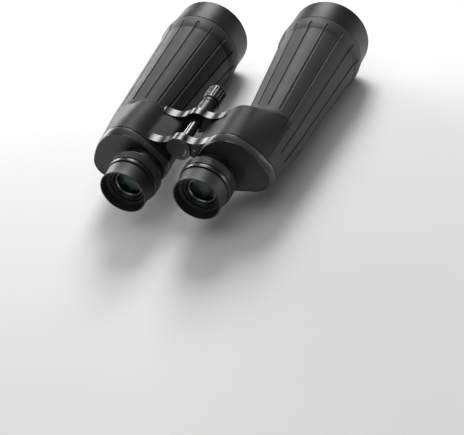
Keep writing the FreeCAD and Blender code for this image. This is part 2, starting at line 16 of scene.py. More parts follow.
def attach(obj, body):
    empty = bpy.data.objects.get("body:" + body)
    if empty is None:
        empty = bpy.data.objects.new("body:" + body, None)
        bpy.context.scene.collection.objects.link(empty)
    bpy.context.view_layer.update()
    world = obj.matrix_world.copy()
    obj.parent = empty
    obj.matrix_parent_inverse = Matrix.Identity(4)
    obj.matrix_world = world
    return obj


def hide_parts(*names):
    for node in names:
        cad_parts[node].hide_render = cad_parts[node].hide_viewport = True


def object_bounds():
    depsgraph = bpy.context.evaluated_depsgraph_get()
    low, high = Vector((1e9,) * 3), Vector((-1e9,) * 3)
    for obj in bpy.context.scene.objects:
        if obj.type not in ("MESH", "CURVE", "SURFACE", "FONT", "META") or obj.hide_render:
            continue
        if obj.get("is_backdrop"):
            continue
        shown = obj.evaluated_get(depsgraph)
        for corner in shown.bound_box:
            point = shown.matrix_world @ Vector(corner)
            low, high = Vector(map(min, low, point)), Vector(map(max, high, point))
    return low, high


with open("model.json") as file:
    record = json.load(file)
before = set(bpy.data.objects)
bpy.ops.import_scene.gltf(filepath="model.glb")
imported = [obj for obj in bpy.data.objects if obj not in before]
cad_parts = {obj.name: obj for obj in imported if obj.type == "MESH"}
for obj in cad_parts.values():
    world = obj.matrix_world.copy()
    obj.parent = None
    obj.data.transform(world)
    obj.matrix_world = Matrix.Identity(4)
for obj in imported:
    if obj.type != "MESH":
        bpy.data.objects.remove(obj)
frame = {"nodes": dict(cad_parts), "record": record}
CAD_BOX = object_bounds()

# ---------------------------------------------------------------- driving dimensions
THREAD_MOUTH = 143.0                # station of the row's origin
EYE = (36.2, -14.0)
OBJ = (67.6, -17.2)
HINGE = (0.0, 0.0)
BODY_CENTRE = (52.0, -10.0)
LENGTH = 281.3

SEAM_Y, FULL_Y = 48.0, 60.0
SHOULDER_Y, NOSE_Y = 95.0, 100.0
ARMOUR_REAR, ARMOUR_STEP, ARMOUR_FRONT = 100.2, 229.0, 246.6
ARMOUR_REAR_R, ARMOUR_STEP_R = 29.3, 40.05
ARMOUR_SWELL = ((41.5, 233.5), (42.3, 239.5))   # (radius, station) in front of the step
ARMOUR_THICK = 2.6
FACET_END, FACET_FADE = 232.0, 40.0             # where the panels between the grooves flatten out
SHAFT_R, BUSH_R = 4.0, 5.2
CUP_SEGMENTS = 160
GRIP_START, GRIP_END, GRIP_FADE = 125.4, 140.1, 0.8     # the ribbed part of the knob
GROOVES, GROOVE_HALF, GROOVE_DEPTH, GROOVE_FRONT = 16, 1.2, 1.0, 238.6
GROOVE_PHASE = {"right": 0.0, "left": 7.0}
SIDES = ("right", "left")


# ---------------------------------------------------------------- materials
def node_material(name):
    material = bpy.data.materials.new(name)
    material.use_nodes = True
    tree = material.node_tree
    shader = tree.nodes["Principled BSDF"]
    return material, tree, shader


def link(tree, source, target):
    tree.links.new(source, target)


def object_noise(tree, scale, detail=3.0, roughness=0.55, stretch=(1, 1, 1)):
    """A noise in object space; stretch squeezes it along one axis."""
    where = tree.nodes.new("ShaderNodeTexCoord")
    mapping = tree.nodes.new("ShaderNodeMapping")
    mapping.inputs["Scale"].default_value = stretch
    noise = tree.nodes.new("ShaderNodeTexNoise")
    noise.inputs["Scale"].default_value = scale
    noise.inputs["Detail"].default_value = detail
    noise.inputs["Roughness"].default_value = roughness
    link(tree, where.outputs["Object"], mapping.inputs["Vector"])
    link(tree, mapping.outputs["Vector"], noise.inputs["Vector"])
    return noise.outputs["Fac"]


def ramp(tree, source, low, high, low_at=0.3, high_at=0.7):
    node = tree.nodes.new("ShaderNodeValToRGB")
    node.color_ramp.elements[0].position = low_at
    node.color_ramp.elements[0].color = (*low, 1)
    node.color_ramp.elements[1].position = high_at
    node.color_ramp.elements[1].color = (*high, 1)
    link(tree, source, node.inputs["Fac"])
    return node.outputs["Color"]


def spread(tree, source, low, high):
    node = tree.nodes.new("ShaderNodeMapRange")
    node.inputs["To Min"].default_value = low
    node.inputs["To Max"].default_value = high
    link(tree, source, node.inputs["Value"])
    return node.outputs["Result"]


def bump(tree, shader, heights):
    """Stack bumps on the shader's normal: each item is (height socket, strength, distance in mm)."""
    last = None
    for height, strength, distance in heights:
        node = tree.nodes.new("ShaderNodeBump")
        node.inputs["Strength"].default_value = strength
        node.inputs["Distance"].default_value = distance / 1000.0
        link(tree, height, node.inputs["Height"])
        if last is not None:
            link(tree, last, node.inputs["Normal"])
        last = node.outputs["Normal"]
    link(tree, last, shader.inputs["Normal"])


def dark_coat(name, low, high, rough, grain_scale, grain_depth, strength=0.35, metallic=0.0, specular=0.5):
    """Black paint, plastic or anodising: slow colour change, fine grain and uneven gloss."""
    material, tree, shader = node_material(name)
    slow = object_noise(tree, 28.0, 4.0)
    link(tree, ramp(tree, slow, low, high), shader.inputs["Base Color"])
    smear = object_noise(tree, 90.0, 5.0, 0.65)
    link(tree, spread(tree, smear, *rough), shader.inputs["Roughness"])
    shader.inputs["Metallic"].default_value = metallic
    shader.inputs["Specular IOR Level"].default_value = specular
    grain = object_noise(tree, grain_scale, 2.0, 0.6)
    bump(tree, shader, [(grain, strength, grain_depth)])
    return material


def rubber_skin():
    """Moulded armour: a tight pebble grain and a slow, random change of tone."""
    material, tree, shader = node_material("armour_rubber")
    slow = object_noise(tree, 22.0, 4.0)
    link(tree, ramp(tree, slow, (0.009, 0.009, 0.010), (0.013, 0.013, 0.014)), shader.inputs["Base Color"])
    where = tree.nodes.new("ShaderNodeTexCoord")
    cells = tree.nodes.new("ShaderNodeTexVoronoi")
    cells.inputs["Scale"].default_value = 1250.0
    cells.inputs["Randomness"].default_value = 0.9
    link(tree, where.outputs["Object"], cells.inputs["Vector"])
    fine = object_noise(tree, 2600.0, 2.0)
    smear = object_noise(tree, 60.0, 5.0, 0.65)
    link(tree, spread(tree, smear, 0.50, 0.66), shader.inputs["Roughness"])
    shader.inputs["Specular IOR Level"].default_value = 0.40
    shader.inputs["Sheen Weight"].default_value = 0.03
    shader.inputs["Sheen Roughness"].default_value = 0.4
    bump(tree, shader, [(cells.outputs["Distance"], 0.30, 0.10), (fine, 0.15, 0.05)])
    return material


def turned_metal(name, colour, rough, line_scale, specular):
    """Anodised metal with the fine circumferential lines of a lathe tool."""
    material, tree, shader = node_material(name)
    slow = object_noise(tree, 30.0, 3.0)
    bright = tuple(c * 1.35 for c in colour)
    link(tree, ramp(tree, slow, colour, bright), shader.inputs["Base Color"])
    lines = object_noise(tree, line_scale, 2.0, 0.7, (0.02, 1.0, 0.02))
    link(tree, spread(tree, lines, *rough), shader.inputs["Roughness"])
    shader.inputs["Specular IOR Level"].default_value = specular
    fine = object_noise(tree, 1800.0, 2.0)
    bump(tree, shader, [(lines, 0.22, 0.04), (fine, 0.08, 0.02)])
    return material


def coated_glass(name, reflection, tint=(1, 1, 1)):
    """Lens glass; its coating colours what it reflects."""
    material, tree, shader = node_material(name)
    smear = object_noise(tree, 140.0, 4.0)
    link(tree, spread(tree, smear, 0.012, 0.030), shader.inputs["Roughness"])
    shader.inputs["Base Color"].default_value = (*tint, 1)
    shader.inputs["IOR"].default_value = 1.60
    shader.inputs["Transmission Weight"].default_value = 1.0
    shader.inputs["Specular Tint"].default_value = (*reflection, 1)
    shader.inputs["Specular IOR Level"].default_value = 0.8
    return material


def plain_metal(name, low, high, rough):
    material, tree, shader = node_material(name)
    slow = object_noise(tree, 60.0, 4.0)
    link(tree, ramp(tree, slow, low, high), shader.inputs["Base Color"])
    link(tree, spread(tree, object_noise(tree, 260.0, 4.0), *rough), shader.inputs["Roughness"])
    shader.inputs["Metallic"].default_value = 1.0
    bump(tree, shader, [(object_noise(tree, 1500.0, 2.0), 0.10, 0.03)])
    return material


MATERIALS = {
    "housing_paint": dark_coat("housing_paint", (0.012, 0.012, 0.013), (0.016, 0.016, 0.017), (0.46, 0.58),
                               1300.0, 0.05, 0.22, specular=0.15),
    "lug_paint": dark_coat("lug_paint", (0.012, 0.012, 0.013), (0.016, 0.016, 0.017), (0.24, 0.34), 900.0,
                           0.03, 0.12, specular=0.50),
    # The cap's satin paint is made far lighter than the gloss black it stands for: that extra lightness is
    # painted reflection of the bright floor.
    "cap_satin_painted_reflection": dark_coat("cap_satin_painted_reflection", (0.085, 0.085, 0.087), (0.105, 0.105, 0.107), (0.22, 0.30), 900.0,
                           0.02, 0.10),
    # The cover plates' paint is the housing's black made about three times lighter: that extra lightness is
    # painted reflection of the bright floor.
    "cover_paint_painted_reflection": dark_coat("cover_paint_painted_reflection", (0.036, 0.036, 0.038), (0.046, 0.046, 0.048), (0.34, 0.44),
                             1300.0, 0.05, 0.22, specular=0.45),
    "armour_rubber": rubber_skin(),
    "tube_anodised": turned_metal("tube_anodised", (0.009, 0.009, 0.010), (0.32, 0.44), 900.0,
                                  specular=0.32),
    "sleeve_anodised": turned_metal("sleeve_anodised", (0.009, 0.009, 0.010), (0.36, 0.48), 700.0,
                                    specular=0.22),
    "ring_anodised": dark_coat("ring_anodised", (0.008, 0.008, 0.009), (0.012, 0.012, 0.013), (0.28, 0.36),
                               1600.0, 0.03, 0.15),
    "cell_anodised": dark_coat("cell_anodised", (0.008, 0.008, 0.009), (0.014, 0.014, 0.015), (0.55, 0.70),
                               1500.0, 0.04),
    "eyecup_rubber": dark_coat("eyecup_rubber", (0.009, 0.009, 0.010), (0.013, 0.013, 0.014), (0.48, 0.60),
                               1900.0, 0.04, 0.20),
    "seal_rubber": dark_coat("seal_rubber", (0.012, 0.012, 0.012), (0.020, 0.020, 0.020), (0.60, 0.70),
                             1900.0, 0.04),
    "gloss_black": dark_coat("gloss_black", (0.012, 0.012, 0.013), (0.018, 0.018, 0.019), (0.12, 0.20),
                             400.0, 0.02, 0.08),
    "white_paint": dark_coat("white_paint", (0.72, 0.72, 0.70), (0.84, 0.84, 0.82), (0.40, 0.55), 2500.0,
                             0.03, 0.20),
    "coated_glass": coated_glass("coated_glass", (0.02, 0.17, 0.08)),
    "prism_glass": coated_glass("prism_glass", (0.9, 1.0, 0.95), (0.92, 0.97, 0.95)),
    "shelf_aluminium": plain_metal("shelf_aluminium", (0.50, 0.51, 0.52), (0.60, 0.61, 0.62), (0.30, 0.42)),
    "bright_ring": plain_metal("bright_ring", (0.22, 0.23, 0.23), (0.30, 0.31, 0.31), (0.22, 0.32)),
    "spring_steel": plain_metal("spring_steel", (0.48, 0.49, 0.50), (0.58, 0.59, 0.60), (0.22, 0.34)),
    "washer_plastic": dark_coat("washer_plastic", (0.60, 0.59, 0.55), (0.72, 0.71, 0.67), (0.40, 0.55),
                                1500.0, 0.03),
    "bush_brass": plain_metal("bush_brass", (0.62, 0.46, 0.20), (0.74, 0.57, 0.28), (0.25, 0.36)),
}


# ---------------------------------------------------------------- pieces
def add_piece(name, points, faces, material, body, replaced=(), slot=None, side="right", sharp=38.0,
              weighted=True):
    """Make a mesh piece from points (x, station, z) in millimetres, and say what it stands for."""
    at = np.array(points, float)
    at = (at - (0.0, THREAD_MOUTH, 0.0)) / 1000.0
    if side == "left":
        at[:, 0] *= -1
    mesh = bpy.data.meshes.new(name)
    mesh.from_pydata(at.tolist(), [], [tuple(f) for f in faces])
    work = bmesh.new()
    work.from_mesh(mesh)
    bmesh.ops.recalc_face_normals(work, faces=work.faces)
    work.to_mesh(mesh)
    work.free()
    return dress(name, mesh, material, body, replaced, sharp, weighted)


def dress(name, mesh, material, body, replaced=(), sharp=38.0, weighted=True):
    for face in mesh.polygons:
        face.use_smooth = True
    mesh.set_sharp_from_angle(angle=math.radians(sharp))
    piece = bpy.data.objects.new(name, mesh)
    bpy.context.scene.collection.objects.link(piece)
    mesh.materials.append(MATERIALS[material])
    if weighted:
        normals = piece.modifiers.new("even_normals", "WEIGHTED_NORMAL")
        normals.keep_sharp = True
    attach(piece, body)
    if replaced:
        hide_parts(*replaced)
    return piece


def polish(piece, columns, rows):
    """Give the bands of faces that start at these rows of a piece the polished paint."""
    piece.data.materials.append(MATERIALS["lug_paint"])
    for face in piece.data.polygons:
        if face.index // columns in rows:
            face.material_index = 1


def grid_faces(rows, columns, close_rows=False, close_columns=True):
    """Quads over a rows x columns grid of points, row after row."""
    faces = []
    for i in range(rows if close_rows else rows - 1):
        a, b = i * columns, ((i + 1) % rows) * columns
        for j in range(columns if close_columns else columns - 1):
            k = (j + 1) % columns
            faces.append((a + j, a + k, b + k, b + j))
    return faces


def rounded(corners, steps=5):
    """Round the corners of a closed profile. A corner is (r, station) or (r, station, radius)."""
    out = []
    count = len(corners)
    for i, corner in enumerate(corners):
        here = np.array(corner[:2], float)
        radius = corner[2] if len(corner) > 2 else 0.0
        if radius == 0:
            out.append(tuple(here))
            continue
        before = np.array(corners[i - 1][:2], float) - here
        after = np.array(corners[(i + 1) % count][:2], float) - here
        u, v = before / np.linalg.norm(before), after / np.linalg.norm(after)
        half = math.acos(max(-1.0, min(1.0, float(u @ v)))) / 2
        reach = radius / math.tan(half)
        centre = here + (u + v) / np.linalg.norm(u + v) * radius / math.sin(half)
        start, end = here + u * reach - centre, here + v * reach - centre
        turn = math.pi - 2 * half
        for k in range(steps + 1):
            t = k / steps
            way = (math.sin((1 - t) * turn) * start + math.sin(t * turn) * end) / math.sin(turn)
            out.append(tuple(centre + way))
    return out


def lathe_points(profile, centre, segments, shape=None):
    """Rows of points round an axis; shape(angle, r, station) may change each radius."""
    angles = np.arange(segments) * 2 * math.pi / segments
    rows = []
    for r, y in profile:
        radius = np.full(segments, float(r)) if shape is None else shape(angles, r, y)
        rows.append(np.stack([centre[0] + radius * np.sin(angles), np.full(segments, y),
                              centre[1] + radius * np.cos(angles)], axis=1))
    return np.concatenate(rows)


def lathe(name, profile, centre, material, body, replaced=(), side="right", segments=144, shape=None,
          **more):
    """A closed profile of (r, station) points turned about an axis parallel to Y."""
    points = lathe_points(profile, centre, segments, shape)
    faces = grid_faces(len(profile), segments, close_rows=True)
    return add_piece(name, points, faces, material, body, replaced, side=side, **more)


def disc_lathe(name, profile, centre, material, body, replaced=(), side="right", segments=144, **more):
    """A profile whose first and last points lie on the axis, such as a lens."""
    inner = [p for p in profile if p[0] > 1e-6]
    points = lathe_points(inner, centre, segments).tolist()
    faces = grid_faces(len(inner), segments)
    for row, (r, y) in ((0, profile[0]), (len(inner) - 1, profile[-1])):
        points.append([centre[0], y, centre[1]])
        hub = len(points) - 1
        start = row * segments
        faces += [(hub, start + j, start + (j + 1) % segments) for j in range(segments)]
    return add_piece(name, points, faces, material, body, replaced, side=side, **more)


# ---------------------------------------------------------------- body outlines
def around(radius, degrees, centre=OBJ):
    a = math.radians(degrees)
    return (centre[0] + radius * math.sin(a), centre[1] + radius * math.cos(a))


def arc(start, middle, end, count):
    """Points on the circle through three points, without the first."""
    (ax, ay), (bx, by), (cx, cy) = start, middle, end
    d = 2 * (ax * (by - cy) + bx * (cy - ay) + cx * (ay - by))
    aa, bb, cc = ax * ax + ay * ay, bx * bx + by * by, cx * cx + cy * cy
    ux = (aa * (by - cy) + bb * (cy - ay) + cc * (ay - by)) / d
    uy = (aa * (cx - bx) + bb * (ax - cx) + cc * (bx - ax)) / d
    angles = [math.atan2(p[1] - uy, p[0] - ux) for p in (start, middle, end)]
    turn = (angles[2] - angles[0]) % (2 * math.pi)
    if (angles[1] - angles[0]) % (2 * math.pi) > turn:
        turn -= 2 * math.pi
    radius = math.hypot(ax - ux, ay - uy)
    steps = [angles[0] + turn * k / count for k in range(1, count + 1)]
    return [(ux + radius * math.cos(a), uy + radius * math.sin(a)) for a in steps]


def straight(start, end, count):
    return [(start[0] + (end[0] - start[0]) * k / count, start[1] + (end[1] - start[1]) * k / count)
            for k in range(1, count + 1)]


def outline(corner, top, right_end, slope, outer_top, outer, outer_low, heel, low, sole, inner, wall,
            soft=1.6):
    """A closed section through the body: clockwise from the hump's inner corner, softened."""
    points = [corner]
    points += arc(corner, top, right_end, 60)
    points += arc(right_end, slope, outer_top, 60)
    points += arc(outer_top, outer, outer_low, 60)
    points += arc(outer_low, heel, low, 60)
    points += straight(low, sole, 60)
    points += arc(sole, inner, wall, 60)
    points += straight(wall, corner, 60)[:-1]
    return softened(np.array(points), soft)


def even_steps(points, step):
    """The closed line again, with evenly spaced points."""
    closed = np.vstack([points, points[:1]])
    along = np.concatenate([[0], np.cumsum(np.linalg.norm(np.diff(closed, axis=0), axis=1))])
    count = int(round(along[-1] / step))
    where = np.arange(count) * along[-1] / count
    return np.stack([np.interp(where, along, closed[:, k]) for k in (0, 1)], axis=1)


def softened(points, sigma, step=0.5):
    """Round every corner of a closed line with a Gaussian along its length."""
    line = even_steps(points, step)
    reach = int(4 * sigma / step)
    offsets = np.arange(-reach, reach + 1)
    weights = np.exp(-0.5 * (offsets * step / sigma) ** 2)
    weights /= weights.sum()
    return sum(w * np.roll(line, -o, axis=0) for w, o in zip(weights, offsets))


PLATE = outline((30.7, 10.3), (46.0, 18.9), (64.2, 16.7), (74.4, 8.4), (84.0, -6.2), (87.8, -17.5),
                (84.0, -27.0), (76.4, -31.6), (66.2, -33.6), (38.0, -35.2), (18.3, -26.0), (12.8, -12.0))
SEAM = outline((31.6, 12.0), (47.0, 21.7), (64.1, 18.9), (76.1, 8.9), (85.7, -4.0), (90.6, -17.5),
               (85.7, -29.9), (78.5, -35.6), (67.7, -39.5), (38.0, -38.8), (17.5, -28.0), (11.8, -12.0))
FULL = outline((32.6, 10.2), (47.4, 21.6), (64.1, 18.9), (77.2, 9.4), (87.0, -2.4), (92.4, -17.4),
               (87.0, -31.6), (79.0, -37.6), (67.7, -41.2), (38.0, -39.2), (15.0, -22.0), (12.6, 0.5))
SHOULDER = outline((32.6, 9.4), (47.0, 19.8), (62.5, 16.6), around(28.9, 20), around(28.9, 45),
                   around(28.9, 90),
                   around(28.9, 135), around(28.9, 158), around(28.9, 180), (38.0, -39.4), (15.2, -22.0),
                   (12.6, 0.5))
NOSE = outline((33.6, 6.6), (48.0, 13.2), (62.5, 12.2), around(29.3, 20), around(29.3, 45),
               around(29.3, 90),
               around(29.3, 135), around(29.3, 158), around(29.3, 180), (38.0, -38.6), (17.6, -22.0),
               (15.0, -1.0))
# Between these angles about the objective axis, in degrees, sections are read by angle.
OUTER_START, OUTER_END = 30.0, 172.0


def inset(line, distance, centre=BODY_CENTRE):
    toward = np.array(centre) - line
    return line + toward / np.linalg.norm(toward, axis=1)[:, None] * distance


def on_columns(line, columns):
    """Points of a section for the given angles: by angle on the outer side, by length on the inner side."""
    offset = line - np.array(OBJ)
    angle = np.degrees(np.arctan2(offset[:, 0], offset[:, 1])) % 360
    first = int(np.argmin(np.abs(angle - OUTER_START)))
    line = np.roll(line, -first, axis=0)
    offset = line - np.array(OBJ)
    angle = np.degrees(np.arctan2(offset[:, 0], offset[:, 1])) % 360
    last = int(np.argmin(np.abs(angle - OUTER_END)))
    radius = np.linalg.norm(offset[:last + 1], axis=1)
    out = np.zeros((len(columns), 2))
    by_angle = columns <= OUTER_END
    a = columns[by_angle]
    r = np.interp(a, angle[:last + 1], radius)
    out[by_angle] = np.array(OBJ) + np.stack([r * np.sin(np.radians(a)), r * np.cos(np.radians(a))], axis=1)
    first_point = out[np.argmin(columns)]
    rest = np.vstack([line[last:], first_point])
    along = np.concatenate([[0], np.cumsum(np.linalg.norm(np.diff(rest, axis=0), axis=1))])
    share = (columns[~by_angle] - OUTER_END) / (360.0 + columns.min() - OUTER_END)
    out[~by_angle] = np.stack([np.interp(share * along[-1], along, rest[:, k]) for k in (0, 1)], axis=1)
    return out


# ---------------------------------------------------------------- body skin with its armour
def armour_radius(y):
    slope = (ARMOUR_STEP_R - ARMOUR_REAR_R) / (ARMOUR_STEP - ARMOUR_REAR)
    return ARMOUR_REAR_R + (y - ARMOUR_REAR) * slope


def groove_rear(outward):
    """Where a groove starts: far back on the outer side, where the armour reaches the rear cover."""
    angles = [-180, -30, 0, 22.5, 45, 62, 75, 105, 118, 135, 157.5, 180]
    starts = [110, 112, 107.8, 104.9, 93, 66, 63, 63, 66, 93, 105, 110]
    return float(np.interp(outward, angles, starts))


def skin_columns(phase):
    """Column angles, crowded together across each groove."""
    pitch = 360.0 / GROOVES
    edge = np.array([0.0, 0.45, 0.75, 0.90, 1.02, 1.14, 1.28, 1.45, 1.8, 2.5]) * 1.75
    offsets = np.concatenate([-edge[:0:-1], edge, np.linspace(edge[-1], pitch - edge[-1], 8)[1:-1]])
    angles = np.concatenate([phase + k * pitch + offsets for k in range(GROOVES)])
    return np.sort((angles - OUTER_START) % 360 + OUTER_START)


def skin_rows():
    return np.concatenate([np.linspace(48.9, 58.0, 12), np.arange(59.0, 69.0, 0.4),
                           np.arange(69.0, 90.0, 1.2), np.arange(90.0, 99.4, 0.4)])


def hump_rows(columns, rows, keys, soft=1.5):
    """The sections between the seam and the hump's front, softened along Y."""
    stations = np.array([k[0] for k in keys])
    lines = np.array([on_columns(k[1], columns) for k in keys])
    fine = np.arange(stations[0] - 8, stations[-1] + 8, 0.25)
    held = np.clip(fine, stations[0], stations[-1])
    stack = np.stack([[np.interp(held, stations, lines[:, j, k]) for j in range(len(columns))]
                      for k in (0, 1)], axis=2)
    reach = int(4 * soft / 0.25)
    weights = np.exp(-0.5 * (np.arange(-reach, reach + 1) * 0.25 / soft) ** 2)
    weights /= weights.sum()
    smooth = np.apply_along_axis(lambda v: np.convolve(np.pad(v, reach, mode="edge"), weights, "valid"),
                                 1, stack)
    result = np.zeros((len(rows), len(columns), 2))
    for k in (0, 1):
        for j in range(len(columns)):
            result[:, j, k] = np.interp(rows, fine, smooth[j, :, k])
    return result


def ring_row(radius, columns):
    a = np.radians(columns)
    return np.stack([OBJ[0] + radius * np.sin(a), OBJ[1] + radius * np.cos(a)], axis=1)


def facet(columns, phase, radius):
    """Panels between grooves are a little flatter than a true cone."""
    pitch = 360.0 / GROOVES
    across = ((columns - phase + pitch / 2) % pitch - pitch / 2) / pitch
    return -0.12 * np.cos(np.pi * 2 * (across + 0.5)) * 0.5 * radius / 35.0 - 0.15


def cut_grooves(points, stations, phase):
    """Press each groove into the skin, toward the objective axis."""
    pitch = 360.0 / GROOVES
    centre = np.array(OBJ)
    offset = points - centre
    radius = np.linalg.norm(offset, axis=1)
    angle = np.degrees(np.arctan2(offset[:, 0], offset[:, 1]))
    nearest = np.round((angle - phase) / pitch) * pitch + phase
    sideways = np.radians(angle - nearest) * radius
    outward = (nearest + 180) % 360 - 180
    rear = np.array([groove_rear(a) for a in outward])
    low, high = rear + GROOVE_HALF, GROOVE_FRONT - GROOVE_HALF
    ahead = stations - np.clip(stations, low, high)
    distance = np.hypot(sideways, ahead)
    edge = np.clip((distance - 0.60) / 0.75, 0, 1)
    depth = GROOVE_DEPTH * (1 - edge * edge * (3 - 2 * edge))
    lip = 0.12 * np.exp(-((distance - 1.65) / 0.36) ** 2)
    return points - offset / radius[:, None] * (depth - lip)[:, None]


def body_skin(side):
    phase = GROOVE_PHASE[side]
    columns = skin_columns(phase)
    rows = skin_rows()
    middle = SHOULDER + (nearest_match(NOSE, SHOULDER) - SHOULDER) * 0.35
    keys = [(SEAM_Y + 0.1, SEAM), (FULL_Y, FULL), (SHOULDER_Y, SHOULDER), (SHOULDER_Y + 3, middle),
            (NOSE_Y, NOSE)]
    hump = hump_rows(columns, rows, keys)
    lines, stations = [], []

    def add(line, station):
        lines.append(line)
        stations.append(np.full(len(columns), station) if np.isscalar(station) else station)

    seam = hump[0]
    add(inset(seam, 2.6), 48.2)
    add(inset(seam, 0.75), 48.2)
    add(inset(seam, 0.35), 48.3)
    add(inset(seam, 0.08), 48.55)
    for k, y in enumerate(rows):
        add(hump[k], y)
    nose = on_columns(NOSE, columns)
    start = ring_row(armour_radius(ARMOUR_REAR), columns)
    gap = np.linalg.norm(nose - start, axis=1)
    step = np.clip(gap / 1.2, 0, 1)[:, None]
    toward = start - nose
    toward /= np.maximum(np.linalg.norm(toward, axis=1), 1e-6)[:, None]
    add(nose + toward * step * 0.05, 99.55)
    add(nose + toward * step * 0.25, 99.8)
    add(nose + toward * step * 0.6, 99.95)
    add(start + (nose - start) * 0.02 - radial(start) * step * 0.35, 100.02)
    for y in np.concatenate([np.arange(100.3, 116.0, 0.5), np.arange(116.0, 226.0, 4.0), [227.0, 228.2]]):
        near = math.exp(-(y - 100.3) / 1.0) * 0.25
        fade = min(1.0, max(0.0, (y - 104) / 8), max(0.0, (FACET_END - y) / FACET_FADE))
        flat = facet(columns, phase, armour_radius(y)) * fade
        base = ring_row(armour_radius(y), columns)
        add(base + radial(base) * (flat[:, None] - near * step), y)
    swell = arc((ARMOUR_STEP_R, ARMOUR_STEP), *ARMOUR_SWELL, 16)
    for r, y in [(ARMOUR_STEP_R + 0.03, ARMOUR_STEP)] + swell:
        fade = max(0.0, (FACET_END - y) / FACET_FADE)
        base = ring_row(r, columns)
        flat = facet(columns, phase, r) * fade
        add(base + radial(base) * flat[:, None], y)
    for r, y in [(42.38, 240.5), (42.5, 243.0), (42.5, 245.6), (42.42, 246.1),
                 (42.2, 246.4), (41.9, 246.55), (39.5, ARMOUR_FRONT), (39.45, 240.0)]:
        add(ring_row(r, columns), y)
    outer_count = len(lines)
    points = np.concatenate(lines)
    y = np.concatenate(stations)
    points = cut_grooves(points, y, phase)
    inner = [(armour_radius(y) - ARMOUR_THICK + 0.02, y) for y in (ARMOUR_STEP, 160.0, ARMOUR_REAR)]
    inner += [(25.02, 100.0), (25.02, 96.0)]
    inner_lines = [ring_row(r, columns) for r, _ in inner]
    inner_y = [s for _, s in inner]
    for line, s in ((inset(SHOULDER, 3.0), 94.5), (inset(FULL, 3.0), 60.0), (inset(SEAM, 3.0), 48.2)):
        inner_lines.append(on_columns(line, columns))
        inner_y.append(s)
    points = np.concatenate([points] + inner_lines)
    y = np.concatenate([y] + [np.full(len(columns), s) for s in inner_y])
    total = outer_count + len(inner_lines)
    xyz = np.stack([points[:, 0], y, points[:, 1]], axis=1)
    faces = grid_faces(total, len(columns), close_rows=True)
    piece = add_piece(side + "_body_skin", xyz, faces, "armour_rubber", side + "_half",
                      (side + "_prism_housing", side + "_barrel_armour"), side=side, weighted=False,
                      sharp=50.0)
    paint_hump(piece, len(columns), columns, outer_count, np.array([s[0] for s in stations]))
    return piece


def radial(points):
    offset = points - np.array(OBJ)
    return offset / np.linalg.norm(offset, axis=1)[:, None]


def nearest_match(target, source):
    """For each point of source, the point of target at the same share of the length."""
    count = len(source)
    where = np.linspace(0, len(target), count, endpoint=False)
    index = np.arange(len(target) + 1)
    closed = np.vstack([target, target[:1]])
    return np.stack([np.interp(where, index, closed[:, k]) for k in (0, 1)], axis=1)


HUMP_START, HUMP_END = 150, 52                  # degrees about the objective axis


def paint_hump(piece, count, columns, rows, stations):
    """Give the prism hump, behind the barrel and away from the outer side, the housing's paint."""
    piece.data.materials.append(MATERIALS["housing_paint"])
    angle = columns % 360
    on_hump = (angle < HUMP_END) | (angle > HUMP_START)
    for index, face in enumerate(piece.data.polygons):
        row, column = divmod(index, count)
        if row < rows and stations[row] < NOSE_Y - 0.3 and on_hump[column]:
            face.material_index = 1


for side in SIDES:
    body_skin(side)


# ---------------------------------------------------------------- rear cover
def rear_cover(side):
    count = 260
    columns = np.linspace(0, 360, count, endpoint=False) + 1e-6
    plate, seam = even_count(PLATE, count), even_count(SEAM, count)
    eye = np.array(EYE)
    offset = plate - eye
    angles = np.arctan2(offset[:, 0], offset[:, 1])

    def eye_ring(radius):
        return eye + radius * np.stack([np.sin(angles), np.cos(angles)], axis=1)

    def band(share, bulge):
        line = plate + (seam - plate) * share
        return inset(line, -bulge)

    hole = eye_ring(19.05)
    face = inset(plate, 1.25)
    rows = [(hole, 42.5), (hole, 41.0), (eye_ring(19.3), 40.62), (eye_ring(19.7), 40.45),
            (hole + (face - hole) * 0.5, 40.45), (face, 40.45), (inset(plate, 1.05), 40.35),
            (inset(plate, 0.90), 40.08),
            (inset(plate, 0.65), 40.0), (inset(plate, 0.40), 40.03), (inset(plate, 0.18), 40.20),
            (inset(plate, 0.10), 40.50), (inset(plate, 0.30), 40.85), (band(0.02, 0.0), 41.15)]
    for t in np.linspace(0.08, 0.92, 14):
        rows.append((band(t ** 1.15, 0.55 * math.sin(math.pi * t)), 41.15 + 6.1 * t))
    rows += [(band(1.0, 0.05), 47.25), (band(1.0, 0.0), 47.5), (band(1.0, -0.15), 47.72),
             (band(1.0, -0.45), 47.86),
             (band(1.0, -0.9), 47.9), (inset(seam, 3.2), 47.9), (inset(plate, 3.4), 42.8),
             (eye_ring(21.0), 42.6)]
    points = np.concatenate([np.stack([line[:, 0], np.full(count, y), line[:, 1]], axis=1)
                             for line, y in rows])
    # The cover plate wears the lightened paint, whose extra lightness is painted reflection of the floor.
    piece = add_piece(side + "_cover_plate", points, grid_faces(len(rows), count, close_rows=True),
                      "cover_paint_painted_reflection",
                      side + "_half", (side + "_rear_cover",), slot="housing_paint", side=side,
                      weighted=False, sharp=50.0)
    polish(piece, count, [k for k, (_, y) in enumerate(rows) if y < 40.36 or 47.2 < y < 47.88])


def even_count(line, count):
    """The same number of points on any closed line, spread evenly in angle about the body's centre."""
    offset = line - np.array(BODY_CENTRE)
    angle = np.unwrap(np.arctan2(offset[:, 0], offset[:, 1]))
    if angle[-1] < angle[0]:
        line, angle = line[::-1], angle[::-1]
    angle = np.concatenate([angle - 2 * math.pi, angle, angle + 2 * math.pi])
    tiled = np.vstack([line, line, line])
    where = np.arange(count) * 2 * math.pi / count
    order = np.argsort(angle)
    return np.stack([np.interp(where, angle[order], tiled[order, k]) for k in (0, 1)], axis=1)


for side in SIDES:
    rear_cover(side)


